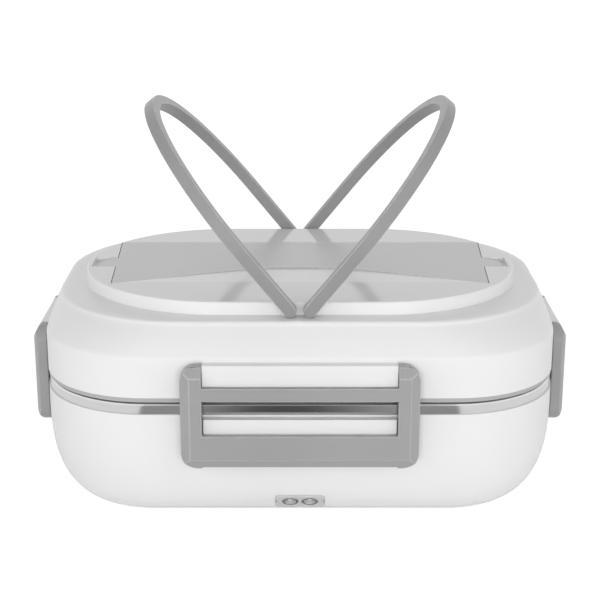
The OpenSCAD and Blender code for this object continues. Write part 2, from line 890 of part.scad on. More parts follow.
// Slices that the shoulder is lofted through: half width, half depth, corner radius, height
shoulder_steps = [
    [half_x, half_y, body_corner_r, wall_top - wall_turn],
    [half_x - turn_in_x, half_y - turn_in_y, body_corner_r, wall_top + turn_rise],
    [ledge_x + lip_r / 6, ledge_y + lip_r / 2, ledge_corner_r, ledge_z - lip_r],
    [ledge_x - lip_w / 5, ledge_y + lip_r / 6, ledge_corner_r + lip_r / 3, ledge_z - lip_turn],
    [ledge_x - lip_w, ledge_y - lip_in_y, ledge_corner_r + lip_flare, ledge_z - slice_t]
];

module lid_shell() {
    color(white)
        difference() {
            union() {
                body_prism(0, lid_bottom, wall_top - wall_turn + wall_lap);
                hull()
                    for (step = shoulder_steps)
                        slice(step[0], step[1], step[2], step[3]);
                plan_solid(crown_x, crown_y, crown_r,
                    concat(edge_profile(crown_draft, crown_top, crown_edge_r),
                        [[0, ledge_z], [0, ledge_z - shell_wall]]));
                for (side = [0:3])
                    at_wall(side)
                        latch_lug(side_latch_width(side), root_depth(side));
            }
            difference() {
                union() {
                    body_prism(shell_wall, lid_bottom - cut, lid_wall_cut);
                    plan_solid(ledge_x, ledge_y, ledge_corner_r,
                        [[shell_wall, ledge_z - shell_wall], [shell_wall, lid_wall_cut - cut]]);
                    plan_solid(crown_x, crown_y, crown_r,
                        [[crown_wall, crown_ceiling], [crown_wall, ledge_z - shell_wall - cut]]);
                }
                translate([0, (pocket_back - pocket_front) / 2, pocket_floor - pocket_wall + deep_cut])
                    cube([pocket_l + 2 * pocket_wall, pocket_back + pocket_front + 2 * pocket_wall,
                        2 * deep_cut], center = true);
            }
            cover_plate(cover_gap, cover_z, crown_top + cut);
            translate([-tongue_reach - tongue_gap, -tongue_w / 2 - cover_gap, cover_z])
                cube([2 * (tongue_reach + tongue_gap), tongue_w + 2 * cover_gap, cover_t + cut]);
            finger_scoop();
            translate([0, (pocket_back - pocket_front) / 2, pocket_floor])
                linear_extrude(height = pocket_depth + cut)
                    round_rect(pocket_l / 2, (pocket_back + pocket_front) / 2, pocket_corner_r);
            for (sx = [-1, 1], turn = [0, 180])
                rotate([0, 0, turn])
                    translate([sx * pivot_gap / 2, -crown_y + handle_pin_l + pin_gap, handle_z])
                        rotate([90, 0, 0])
                            cylinder(r = handle_pin_r + slip, h = handle_pin_l + 2 * cut);
        }
}

module lid_liner() {
    rim = shell_wall + 3;
    rim_h = 9;
    plate = 1.6;
    top_z = lid_bottom + rim_h;
    color(pale_grey)
        difference() {
            union() {
                body_prism(rim, lid_bottom + seat_gap, top_z);
                body_prism(shell_wall + seat_gap, top_z - plate, top_z);
            }
            body_prism(rim + plate, lid_bottom + seat_gap + plate, top_z + cut);
        }
}

module lid_seal() {
    face_inset = 0.4;
    lip_inset = 3;
    lip_h = 0.6;
    groove = shell_wall + 0.5;
    groove_w = 2.3;
    groove_h = 3.6;
    overlap = 0.1;
    inner = 7.4;
    lip_inner = 5.6;
    color(grey)
        difference() {
            union() {
                body_prism(face_inset, band_top + lip_h, lid_bottom);
                body_prism(lip_inset, band_top, band_top + lip_h + overlap);
                body_prism(groove, lid_bottom - overlap, lid_bottom + groove_h);
            }
            body_prism(groove + groove_w, lid_bottom, lid_bottom + groove_h + cut);
            body_prism(inner, band_top - cut, lid_bottom + cut);
            body_prism(lip_inner, band_top - cut, band_top + lip_h);
        }
}

module cutlery_cover() {
    skirt_x = pocket_l / 2 - skirt_gap;
    skirt_y = (pocket_back + pocket_front) / 2 - skirt_gap;
    skirt_r = pocket_corner_r - skirt_gap;
    tongue_tilt = atan(tongue_drop / (tongue_reach - cover_w / 2));
    color(grey)
        difference() {
            union() {
                cover_plate(0, cover_z, crown_top);
                translate([-tongue_reach, -tongue_w / 2, cover_z])
                    cube([2 * tongue_reach, tongue_w, cover_t]);
                difference() {
                    translate([0, (pocket_back - pocket_front) / 2, cover_z - skirt_h])
                        linear_extrude(height = skirt_h + lap)
                            round_rect(skirt_x, skirt_y, skirt_r);
                    translate([0, (pocket_back - pocket_front) / 2, cover_z - skirt_h - cut])
                        linear_extrude(height = skirt_h + cut)
                            round_rect(skirt_x - skirt_t, skirt_y - skirt_t, skirt_r - skirt_t);
                    translate([-pocket_l / 2 - cut, -pocket_front - cut, cover_z - skirt_h - cut])
                        cube([pocket_l + 2 * cut, skirt_opening + cut, skirt_h + cut]);
                }
            }
            for (s = [-1, 1])
                translate([s * cover_w / 2, 0, crown_top])
                    rotate([0, s * tongue_tilt, 0])
                        translate([s > 0 ? 0 : -deep_cut, -tongue_w / 2 - cut, 0])
                            cube([deep_cut, tongue_w + 2 * cut, 2 * cover_t]);
        }
}

// Cross-section of the handle band, rounded at its edges
module band_section() {
    w = band_w / 2;
    t = band_t / 2;
    e = band_edge_r;
    square([2 * (w - e), 2 * t], center = true);
    square([2 * w, 2 * (t - e)], center = true);
    for (sx = [-1, 1], sy = [-1, 1])
        translate([sx * (w - e), sy * (t - e)])
            circle(e);
}

// One handle lying flat along +X from its pivots at the origin
module handle() {
    color(grey) {
        translate([leg_l, 0, 0])
            rotate([0, 0, -90])
                rotate_extrude(angle = 180)
                    translate([bow_r, 0])
                        band_section();
        for (s = [-1, 1]) {
            translate([0, s * bow_r, 0])
                rotate([90, 0, 90])
                    linear_extrude(height = leg_l)
                        band_section();
            translate([0, s * bow_r + band_w / 2, 0])
                rotate([90, 0, 0])
                    cylinder(r = band_t / 2, h = band_w);
            translate([0, s > 0 ? bow_r : -bow_r + band_w / 2 + handle_pin_l, 0])
                rotate([90, 0, 0])
                    cylinder(r = handle_pin_r, h = band_w / 2 + handle_pin_l);
        }
    }
}

module handle_right() {
    translate([pivot_gap / 2, 0, handle_z])
        rotate([0, -handle_angle, 0])
            handle();
}

module handle_left() {
    rotate([0, 0, 180])
        handle_right();
}

// Outline of a latch seen from the front, from its lower edge to the top of its ears
module latch_outline(width, drop) {
    r = latch_corner_r;
    top = ear_r;
    translate([-width / 2, -drop + r])
        square([width, drop + top - 2 * r]);
    translate([-width / 2 + r, -drop])
        square([width - 2 * r, drop + top]);
    for (s = [-1, 1], z = [-drop + r, top - r])
        translate([s * (width / 2 - r), z])
            circle(r);
}

// Side profile of a latch as [out of the wall, up] from the hinge line
function latch_profile(drop) = concat(
    [[cheek_back, -drop], [-face_y + bottom_bevel_d, -drop], [-face_y, -drop + bottom_bevel_h],
     [-face_y, -top_bevel_h]],
    [for (a = [ear_start:-ear_step:ear_end]) [ear_r * cos(a), ear_r * sin(a)]]);

// A latch hanging from its hinge line at the origin; its face looks along -Y
module latch(width) {
    drop = hinge_z - latch_bottom;
    half = width / 2;
    inner = half - ear_w;
    hook_z = rib_bottom - hook_gap - hook_h - hinge_z;
    hook_reach = plate_back + lap + hinge_out - rib_out - snap_gap;
    relief_w = ear_w - relief_wall - relief_gap;
    color(grey)
        union() {
            difference() {
                intersection() {
                    translate([0, deep_cut / 2, 0])
                        rotate([90, 0, 0])
                            linear_extrude(height = deep_cut)
                                latch_outline(width, drop);
                    rotate([90, 0, 90])
                        linear_extrude(height = width + 2 * cut, center = true)
                            polygon(latch_profile(drop));
                    translate([0, 0, -drop - cut])
                        linear_extrude(height = drop + ear_r + 2 * cut)
                            polygon([
                                [-half, deep_cut / 2],
                                [-half, -face_y + side_bevel_d],
                                [-half + side_bevel_w, -face_y],
                                [half - side_bevel_w, -face_y],
                                [half, -face_y + side_bevel_d],
                                [half, deep_cut / 2]
                            ]);
                }
                translate([-inner, -plate_back, -drop - cut])
                    cube([2 * inner, deep_cut, drop + deep_cut]);
                translate([-inner, -deep_cut / 2, notch_z - hinge_z])
                    cube([2 * inner, deep_cut, deep_cut]);
                x_cylinder(lug_clear_r, -inner, inner);
                translate([-inner, -deep_cut / 2, window_z - hinge_z])
                    cube([2 * inner, deep_cut, window_h]);
                for (x = [inner + relief_gap, -half + relief_wall])
                    translate([x, -plate_back, -drop + relief_low])
                        cube([relief_w, deep_cut, drop - relief_low - relief_high]);
            }
            translate([-inner - lap, -plate_back - lap, hook_z])
                cube([2 * (inner + lap), hook_reach, hook_h]);
            x_cylinder(latch_pin_r, inner - latch_pin_l, inner + lap);
            x_cylinder(latch_pin_r, -inner - lap, -inner + latch_pin_l);
        }
}

module placed_latch(side) {
    at_wall(side)
        translate([0, -hinge_out, hinge_z])
            latch(side_latch_width(side));
}

module latch_front() {
    placed_latch(0);
}

module latch_right() {
    placed_latch(1);
}

module latch_back() {
    placed_latch(2);
}

module latch_left() {
    placed_latch(3);
}

base_shell();
base_liner();
feet();
base_screws();
heating_plate();
plate_seal();
heating_blocks();
heater_clamp();
clamp_screws();
thermostat();
thermal_fuse();
lead_live();
lead_neutral();
inlet_bezel();
inlet_body();
inlet_pins();
steel_container();
lid_shell();
lid_liner();
lid_seal();
cutlery_cover();
handle_left();
handle_right();
latch_front();
latch_back();
latch_left();
latch_right();
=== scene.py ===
# %% [markdown]
# # An electric lunch box
# The box is a white base, a steel container that stands in it, a white lid that carries four
# latches and two folding handles, and a grey cover over the cutlery compartment in the lid. The
# CAD model already holds every piece in its place, so this script only gives the pieces their
# final surfaces, materials and light. Everything is in metres and in the CAD model's own frame.

# %% Load the CAD frame
import math

import bmesh
import bpy
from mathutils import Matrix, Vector


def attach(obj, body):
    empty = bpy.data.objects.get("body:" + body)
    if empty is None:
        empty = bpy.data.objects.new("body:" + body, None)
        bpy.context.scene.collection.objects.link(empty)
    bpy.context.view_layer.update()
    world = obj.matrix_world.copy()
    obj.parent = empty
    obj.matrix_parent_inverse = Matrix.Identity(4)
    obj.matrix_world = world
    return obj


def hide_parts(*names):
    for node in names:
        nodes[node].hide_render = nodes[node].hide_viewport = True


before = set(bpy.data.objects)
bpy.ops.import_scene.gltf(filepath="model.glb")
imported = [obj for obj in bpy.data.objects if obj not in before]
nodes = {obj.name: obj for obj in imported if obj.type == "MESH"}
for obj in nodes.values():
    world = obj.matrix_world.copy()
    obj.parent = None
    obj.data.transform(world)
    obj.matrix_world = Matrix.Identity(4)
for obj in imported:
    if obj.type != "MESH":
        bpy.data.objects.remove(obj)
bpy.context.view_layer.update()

# %% [markdown]
# ## The camera
# The photograph looks straight at the front and down by about seventeen degrees. The lens and the
# distance come from matching the box's outlines, so a long lens stands well away from the box.

# %% Camera
CAMERA_DOWN = math.radians(16.91)
CAMERA_SPOT = (0, -0.6531, 0.2791)
SENSOR_WIDTH, LENS = 36, 85.09  # in millimetres, as on a real camera

camera_data = bpy.data.cameras.new("camera")
camera_data.sensor_width = SENSOR_WIDTH
camera_data.lens = LENS
camera = bpy.data.objects.new("camera", camera_data)
bpy.context.collection.objects.link(camera)
camera.location = CAMERA_SPOT
camera.rotation_euler = (math.radians(90) - CAMERA_DOWN, 0, 0)
bpy.context.scene.camera = camera
bpy.context.scene.view_settings.view_transform = "Standard"
print("camera at", CAMERA_SPOT, "with a lens of", LENS, "mm")

# %% [markdown]
# ## Shared shader effects
# Plastic and metal are never quite one colour or one gloss. Such variations could be painted as
# pictures, but noise textures that read the piece's own coordinates have no seams and no size
# limit. An effect that several materials use is a node group, built once. These helpers keep the
# node trees short to read: each places a node, links what it is given, and returns an output.


# %% Helpers for building node trees
def new_group(name, kind, inputs, outputs):
    """An empty node group, the sockets it is given, and the sockets of what it makes."""
    group = bpy.data.node_groups.new(name, kind)
    for label, value in inputs.items():
        socket_type = "NodeSocketInt" if isinstance(value, int) else "NodeSocketFloat"
        item = group.interface.new_socket(label, in_out="INPUT", socket_type=socket_type)
        item.default_value = value
    for label, socket_type in outputs.items():
        group.interface.new_socket(label, in_out="OUTPUT", socket_type=socket_type)
    given = group.nodes.new("NodeGroupInput").outputs
    made = group.nodes.new("NodeGroupOutput").inputs
    return group, given, made


def place(tree, kind, inputs=None, **settings):
    """Adds a node, and gives each input named a value or a link."""
    node = tree.nodes.new(kind)
    for key, value in settings.items():
        setattr(node, key, value)
    for key, value in (inputs or {}).items():
        if isinstance(value, bpy.types.NodeSocket):
            tree.links.new(value, node.inputs[key])
        else:
            node.inputs[key].default_value = value
    return node


def calc(tree, operation, first, second=0.0):
    return place(tree, "ShaderNodeMath", {0: first, 1: second}, operation=operation).outputs[0]


def times(tree, first, second):
    return calc(tree, "MULTIPLY", first, second)


def ranged(tree, value, start, end, low=0.0, high=1.0):
    """Turns start to end into low to high, and holds still past both ends."""
    ends = {"From Min": start, "From Max": end, "To Min": low, "To Max": high}
    return place(tree, "ShaderNodeMapRange", {"Value": value, **ends}).outputs[0]


def joined(tree, **parts):
    return place(tree, "ShaderNodeCombineXYZ", parts).outputs[0]


def parted(tree, vector):
    return place(tree, "ShaderNodeSeparateXYZ", {0: vector}).outputs


def noise(tree, spot, scale, **shape):
    return place(tree, "ShaderNodeTexNoise", {"Vector": spot, "Scale": scale, **shape}).outputs[0]


# %% [markdown]
# ## Moulded grain
# A mould leaves a fine grain on plastic, the material is a little cloudy, and handling leaves
# faint scuffs. One group makes all three from noise, and every plastic uses it with its own
# values.

# %% Moulded grain group
SCUFF_SCALE, SCUFF_START, SCUFF_FULL = 90.0, 0.58, 0.78


def make_moulded_grain():
    group, given, made = new_group(
        "moulded_grain",
        "ShaderNodeTree",
        {"Grain Scale": 2600.0, "Cloud Scale": 14.0, "Scuff Amount": 0.15},
        {"Tone": "NodeSocketFloat", "Gloss": "NodeSocketFloat", "Height": "NodeSocketFloat"},
    )
    spot = place(group, "ShaderNodeTexCoord").outputs["Object"]
    cloud = noise(group, spot, given["Cloud Scale"], Detail=3.0, Roughness=0.5)
    grain = noise(group, spot, given["Grain Scale"], Detail=2.0, Roughness=0.6)
    scuff = noise(group, spot, SCUFF_SCALE, Detail=6.0, Roughness=0.75, Distortion=1.2)
    worn = ranged(group, scuff, SCUFF_START, SCUFF_FULL)
    scuffs = times(group, worn, given["Scuff Amount"])
    tone = calc(group, "SUBTRACT", cloud, times(group, scuffs, 0.5))
    gloss = calc(group, "ADD", times(group, cloud, 0.5), scuffs)
    for label, socket in (("Tone", tone), ("Gloss", gloss), ("Height", grain)):
        group.links.new(socket, made[label])
    return group


moulded_grain = make_moulded_grain()
print("shader group:", moulded_grain.name)

# %% [markdown]
# ## Edge wear and painted highlights
# Fingers rub the edges of a handle or a latch first, so they turn paler and smoother. The paler
# edges also stand in for the light lines that edges catch, so they are partly painted highlights.
# A shader could guess where the edges are, but here every bevelled edge carries a mark, so the
# group only reads the mark and breaks it up with noise.

# %% Edge wear and painted highlight group
PATCH_START, PATCH_FULL, LEAST_WEAR_AND_HIGHLIGHT = 0.3, 0.6, 0.6


def make_edge_wear_and_highlight():
    group, given, made = new_group(
        "edge_wear_and_highlight",
        "ShaderNodeTree",
        {"Amount": 0.5, "Patch Scale": 160.0},
        {"Mask": "NodeSocketFloat"},
    )
    edge = place(group, "ShaderNodeAttribute", attribute_name="edge").outputs["Fac"]
    spot = place(group, "ShaderNodeTexCoord").outputs["Object"]
    patch = noise(group, spot, given["Patch Scale"], Detail=3.0)
    broken = ranged(group, patch, PATCH_START, PATCH_FULL)
    mask = times(group, edge, calc(group, "ADD", broken, LEAST_WEAR_AND_HIGHLIGHT))
    group.links.new(times(group, mask, given["Amount"]), made["Mask"])
    return group


edge_wear_and_highlight = make_edge_wear_and_highlight()
print("shader group:", edge_wear_and_highlight.name)

# %% [markdown]
# ## Brushed lines
# Drawing and brushing leave fine level lines on sheet steel. Noise that is stretched along X and Y
# and left alone along Z gives such lines, and a slower noise adds faint stains.

# %% Brushed line group
STAIN_SCALE, LINE_SHARE, STAIN_SHARE = 30.0, 0.6, 0.4


def make_brushed_lines():
    group, given, made = new_group(
        "brushed_lines",
        "ShaderNodeTree",
        {"Line Scale": 900.0, "Stretch": 0.03},
        {"Tone": "NodeSocketFloat", "Height": "NodeSocketFloat"},
    )
    spot = place(group, "ShaderNodeTexCoord").outputs["Object"]
    part = parted(group, spot)
    stretched = joined(
        group,
        X=times(group, part["X"], given["Stretch"]),
        Y=times(group, part["Y"], given["Stretch"]),
        Z=part["Z"],
    )
    lines = noise(group, stretched, given["Line Scale"], Detail=4.0, Roughness=0.7)
    stains = noise(group, spot, STAIN_SCALE, Detail=4.0)
    tone = calc(group, "ADD", times(group, lines, LINE_SHARE), times(group, stains, STAIN_SHARE))
    group.links.new(tone, made["Tone"])
    group.links.new(lines, made["Height"])
    return group


brushed_lines = make_brushed_lines()
print("shader group:", brushed_lines.name)

# %% [markdown]
# ## Materials
# Each finish is one Principled BSDF. A group shifts its colour and its roughness a little, and its
# grain goes through a Bump node, whose distance is the real depth of the texture in metres.


# %% Helpers for materials
def grey(level):
    return (level, level, level)


def blend_colour(tree, factor, first, second):
    """Mixes two colours; each is a link or three numbers."""
    ends = [c if isinstance(c, bpy.types.NodeSocket) else (*c, 1) for c in (first, second)]
    mix = place(tree, "ShaderNodeMix", {0: factor, 6: ends[0], 7: ends[1]}, data_type="RGBA")
    return mix.outputs[2]


def new_material(name):
    material = bpy.data.materials.new(name)
    material.use_nodes = True
    tree = material.node_tree
    return material, tree, tree.nodes["Principled BSDF"]


def use_group(tree, group, values):
    """Places a shared group with this material's values; Grain_Scale stands for Grain Scale."""
    node = place(tree, "ShaderNodeGroup", node_tree=group)
    for label, value in values.items():
        node.inputs[label.replace("_", " ")].default_value = value
    return node.outputs


def connect(tree, surface, colour, gloss, height, depth):
    bump = place(tree, "ShaderNodeBump", {"Strength": 1.0, "Distance": depth, "Height": height})
    normal = bump.outputs[0]
    for label, socket in (("Base Color", colour), ("Roughness", gloss), ("Normal", normal)):
        tree.links.new(socket, surface.inputs[label])


# %% [markdown]
# ## Plastics and rubber
# The shell is satin white, and the latches and handles are matt grey, with rubbed edges, painted
# paler partly for wear and partly as painted highlights. Two zones differ from the rest of their
# piece: the flat top of the crown is polished, and painted a touch greyer as painted shade, and the
# lips of the inlet's wells and the floors of its notches are dark with painted shade, standing in
# for thin gaps. They could be pieces of their own, but a mark on the faces does it, and the finish
# reads the mark.

# %% How a plastic is made
# Rubbed edges are painted paler: partly wear, partly painted highlights.
WEAR_AND_HIGHLIGHT_PALER, WEAR_AND_HIGHLIGHT_PALEST, WEAR_SMOOTHER = 1.7, 0.9, 0.15
# The polished crown top is painted a touch greyer: painted shade.
POLISHED_TOP_PAINTED_SHADE = 0.96


def marked_zone(tree, name):
    return place(tree, "ShaderNodeAttribute", attribute_name=name).outputs["Fac"]


def plastic(name, dark, light, rough, depth, wear_and_highlight=0.0, polish_and_painted_shade=0.0, shade=None, **group_values):
    """Clouds between two colours and two roughnesses, over a grain of a real depth."""
    material, tree, surface = new_material(name)
    grain = use_group(tree, moulded_grain, group_values)
    colour = blend_colour(tree, grain["Tone"], dark, light)
    gloss = ranged(tree, grain["Gloss"], 0.0, 1.0, *rough)
    # Marked edges turn paler and smoother; the paler colour is partly wear and partly a painted
    # highlight.
    if wear_and_highlight:
        worn_and_highlit = use_group(tree, edge_wear_and_highlight, {"Amount": wear_and_highlight})["Mask"]
        paler = tuple(min(WEAR_AND_HIGHLIGHT_PALEST, c * WEAR_AND_HIGHLIGHT_PALER) for c in light)
        colour = blend_colour(tree, worn_and_highlit, colour, paler)
        gloss = calc(tree, "SUBTRACT", gloss, times(tree, worn_and_highlit, WEAR_SMOOTHER))
    # The marked crown top is less rough, and painted a touch greyer as painted shade.
    if polish_and_painted_shade:
        zone = marked_zone(tree, "polish_and_painted_shade")
        left = calc(tree, "SUBTRACT", 1.0, times(tree, zone, 1 - polish_and_painted_shade))
        gloss = times(tree, gloss, left)
        colour = blend_colour(tree, zone, colour, tuple(c * POLISHED_TOP_PAINTED_SHADE for c in dark))
    # Faces marked shade take a dark colour: painted shade in gaps too fine to model.
    if shade:
        colour = blend_colour(tree, marked_zone(tree, "shade"), colour, shade)
    connect(tree, surface, colour, gloss, grain["Height"], depth)
    return material


# %% The box's plastics and rubbers
FINE, MATT, COARSE = 0.000004, 0.000008, 0.00001  # depths of the grain

white_plastic = plastic(
    "satin_white", (0.78, 0.78, 0.777), (0.84, 0.84, 0.837), (0.2, 0.34), FINE, polish_and_painted_shade=0.4
)
grey_plastic = plastic(
    "matt_grey", grey(0.30), grey(0.37), (0.3, 0.48), MATT,
    wear_and_highlight=0.2, Grain_Scale=1800.0, Scuff_Amount=0.25,
)
# The handles' edges are painted much paler: partly wear, partly painted highlight.
handle_plastic = plastic(
    "handle_grey", grey(0.26), grey(0.315), (0.3, 0.45), MATT,
    wear_and_highlight=1.0, Grain_Scale=1800.0, Scuff_Amount=0.25,
)
cover_plastic = plastic(
    "cover_grey", grey(0.57), grey(0.63), (0.3, 0.45), MATT, wear_and_highlight=0.1, Grain_Scale=2200.0
)
liner_plastic = plastic("pale_liner", (0.66, 0.66, 0.65), (0.74, 0.74, 0.73), (0.4, 0.55), COARSE)
# The bezel and the wells carry a dark colour for their marked faces: painted shade in thin gaps.
bezel_plastic = plastic(
    "bezel_grey", grey(0.52), grey(0.60), (0.35, 0.5), COARSE, wear_and_highlight=0.1, shade=grey(0.12)
)
inlet_plastic = plastic(
    "inlet_grey", (0.66, 0.66, 0.65), (0.74, 0.74, 0.73), (0.4, 0.55), COARSE, shade=grey(0.14)
)
dark_ceramic = plastic(
    "dark_ceramic", (0.03, 0.03, 0.032), (0.07, 0.07, 0.072), (0.45, 0.65), 0.00002
)
seal_rubber = plastic("seal_grey", grey(0.39), grey(0.46), (0.4, 0.55), COARSE)
foot_rubber = plastic("foot_grey", grey(0.30), grey(0.38), (0.6, 0.8), 0.00003, wear_and_highlight=0.2)
lead_brown = plastic("brown_sleeve", (0.13, 0.06, 0.04), (0.18, 0.09, 0.06), (0.4, 0.55), COARSE)
lead_blue = plastic("blue_sleeve", (0.02, 0.06, 0.17), (0.03, 0.09, 0.24), (0.4, 0.55), COARSE)
print("materials so far, with the CAD model's own:", len(bpy.data.materials))

# %% [markdown]
# ## Metals
# The container is smooth drawn steel that mirrors its surroundings. The screws, the inlet's pins
# and the hidden metals differ from it only in colour, roughness and the depth of their lines. Each
# could have a tree of its own, but one function makes them all.


# %% Metals
def metal(name, dark, light, rough, depth):
    material, tree, surface = new_material(name)
    surface.inputs["Metallic"].default_value = 1.0
    lines = use_group(tree, brushed_lines, {})
    colour = blend_colour(tree, lines["Tone"], dark, light)
    gloss = ranged(tree, lines["Tone"], 0.0, 1.0, *rough)
    connect(tree, surface, colour, gloss, lines["Height"], depth)
    return material


stainless_steel = metal("drawn_steel", grey(0.64), grey(0.88), (0.06, 0.2), 0.000003)
plate_aluminium = metal(
    "cast_aluminium", (0.62, 0.62, 0.63), (0.74, 0.74, 0.75), (0.25, 0.4), 0.000008
)
zinc_steel = metal("zinc_plate", (0.50, 0.50, 0.51), (0.66, 0.66, 0.67), (0.2, 0.35), 0.000004)
pin_brass = metal("plated_brass", (0.60, 0.59, 0.56), (0.76, 0.75, 0.72), (0.15, 0.3), 0.000003)
print("materials in all, with the CAD model's own:", len(bpy.data.materials))

# %% [markdown]
# ## Smooth copies of CAD pieces
# A CAD node arrives as loose triangles. To shade it softly it is copied, its doubled corners are
# merged, flat areas become single faces, and a narrow bevel catches light along the edges. The
# copy then stands for its node, and the node stays hidden for the physics.

# %% Copy and merge
MERGE_DISTANCE = 0.000004
FLAT_ANGLE = 0.4  # degrees; faces that differ by less become one


def flatten_areas(shape, degrees):
    bmesh.ops.dissolve_limit(
        shape,
        angle_limit=math.radians(degrees),
        verts=shape.verts,
        edges=shape.edges,
        use_dissolve_boundaries=False,
    )


def merged_copy(name, flatten=FLAT_ANGLE):
    mesh = nodes[name].data.copy()
    shape = bmesh.new()
    shape.from_mesh(mesh)
    bmesh.ops.remove_doubles(shape, verts=shape.verts, dist=MERGE_DISTANCE)
    if flatten:
        flatten_areas(shape, flatten)
    return mesh, shape


# %% Bake modifiers and mark faces
def baked(piece):
    """The mesh that a piece's modifiers make, as a plain mesh."""
    depsgraph = bpy.context.evaluated_depsgraph_get()
    mesh = bpy.data.meshes.new_from_object(piece.evaluated_get(depsgraph))
    piece.modifiers.clear()
    return mesh


def mark_faces(mesh, name, chosen):
    mark = mesh.attributes.new(name, "FLOAT", "FACE")
    mark.data.foreach_set("value", [1.0 if chosen(face) else 0.0 for face in mesh.polygons])


# %% Bevel, smooth and hand over
BEVEL_SLOT = 1  # the material place that tells the bevel's faces from the others, until it is baked
BEVEL_SEGMENTS = 2
AREA_WEIGHT = 90  # above 50, large faces lead when the shading is evened out


def finish_piece(name, mesh, material, body, *stands_for, bevel=0.0, sharp=32):
    """Bevels and smooths a mesh, marks its bevelled edges, and makes it a piece of the model."""
    mesh.name = name
    mesh.materials.clear()
    for _ in range(BEVEL_SLOT + 1):
        mesh.materials.append(material)
    shape = bmesh.new()
    shape.from_mesh(mesh)
    for face in shape.faces:
        face.smooth, face.material_index = True, 0
    for edge in shape.edges:
        edge.smooth = edge.calc_face_angle(0.0) < math.radians(sharp)
    shape.to_mesh(mesh)
    shape.free()
    piece = bpy.data.objects.new(name, mesh)
    bpy.context.collection.objects.link(piece)
    if bevel:
        edges = piece.modifiers.new("edges", "BEVEL")
        edges.width, edges.segments, edges.material = bevel, BEVEL_SEGMENTS, BEVEL_SLOT
        edges.limit_method = "ANGLE"
        edges.angle_limit = math.radians(sharp)
        edges.use_clamp_overlap = False
    even = piece.modifiers.new("even", "WEIGHTED_NORMAL")
    even.keep_sharp = True
    even.weight = AREA_WEIGHT
    piece.data = baked(piece)
    if bevel:
        mark_faces(piece.data, "edge", lambda face: face.material_index == BEVEL_SLOT)
    for face in piece.data.polygons:
        face.material_index = 0
    piece.data.materials.pop(index=BEVEL_SLOT)
    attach(piece, body)
    if stands_for:
        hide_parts(*stands_for)
    print(name, "faces:", len(piece.data.polygons))
    return piece


def smooth_copy(node, material, body, bevel=0.0, sharp=32, **options):
    mesh, shape = merged_copy(node, **options)
    shape.to_mesh(mesh)
    shape.free()
    return finish_piece(node + "_finished", mesh, material, body, node, bevel=bevel, sharp=sharp)


# %% [markdown]
# ## The base
# The base is a deep white bowl with a flat underside. Its sides come straight down and then roll
# in. It could be modelled again with a subdivision surface, but the CAD shell is fine enough, so a
# smooth copy is all it needs. The liner inside it is a smooth copy too.

# %% Base shell and liner
smooth_copy("base_shell", white_plastic, "base", flatten=0)
smooth_copy("base_liner", liner_plastic, "base", flatten=0)

# %% [markdown]
# ## The power inlet
# The inlet is a grey bezel round two wells with a pin in each, and it looks forward and down. The
# real one has thin gaps round the wells and in the notches, dark with shade, too fine to show as
# gaps. So the lips of the wells and the floors of the notches are found by their depth along the
# inlet's axis and marked, and the finish paints them dark: painted shade.

# %% Inlet bezel and wells
INLET_DOWN = math.radians(37.4)
INLET_AXIS = Vector((0, -math.cos(INLET_DOWN), -math.sin(INLET_DOWN)))
FACES_OUT = 0.98  # how closely a face has to look along the axis; 1 is exactly
LIP_DEPTHS, NOTCH_DEPTHS = (0.0, 0.0001), (0.0003, 0.0015)  # nearest and farthest


def painted_shade_zone(piece, nearest, farthest):
    """Marks for painted shade the faces that look out along the inlet's axis, at these depths
    behind its front.
    """
    facing = [face for face in piece.data.polygons if face.normal.dot(INLET_AXIS) > FACES_OUT]
    reach = {face.index: face.center.dot(INLET_AXIS) for face in facing}
    front = max(reach.values())
    chosen = {index for index, out in reach.items() if nearest <= front - out <= farthest}
    mark_faces(piece.data, "shade", lambda face: face.index in chosen)
    print(piece.name, "shaded faces:", len(chosen))


bezel = smooth_copy("inlet_bezel", bezel_plastic, "base", bevel=0.0003)
wells = smooth_copy("inlet_body", inlet_plastic, "base")
painted_shade_zone(wells, *LIP_DEPTHS)
painted_shade_zone(bezel, *NOTCH_DEPTHS)

# %% [markdown]
# ## Pieces that keep their CAD shape
# The heating parts, the leads, the inlet's pins and the lid's liner are hidden or tiny. Their CAD
# shapes are good enough, so they only get their finishes.

# %% Finishes for the kept pieces
kept = {
    "heating_plate": plate_aluminium,
    "plate_seal": seal_rubber,
    "heating_blocks": dark_ceramic,
    "heater_clamp": zinc_steel,
    "clamp_screws": zinc_steel,
    "thermostat": dark_ceramic,
    "thermal_fuse": zinc_steel,
    "lead_live": lead_brown,
    "lead_neutral": lead_blue,
    "inlet_pins": pin_brass,
    "lid_liner": liner_plastic,
}
for name, material in kept.items():
    for holder in nodes[name].material_slots:
        holder.material = material
print("kept CAD nodes with new finishes:", len(kept))

# %% [markdown]
# ## Feet and screws
# Four rubber feet and four screws sit on the corners of two rectangles under the base. Each set is
# one Geometry Nodes tree: a grid of two by two points, one shape put on every point, and the
# copies made real. They could be copied by hand, but the tree keeps their sizes and spans as named
# inputs.


# %% Helpers for Geometry Nodes trees
def shape_node(tree, kind, inputs=None, **settings):
    return place(tree, "GeometryNode" + kind, inputs, **settings).outputs[0]


def end_tree(tree, made, shape, material):
    """Ends a tree: real copies with their material."""
    real = shape_node(tree, "RealizeInstances", {0: shape})
    coloured = shape_node(tree, "SetMaterial", {"Geometry": real, "Material": material})
    tree.links.new(coloured, made["Geometry"])


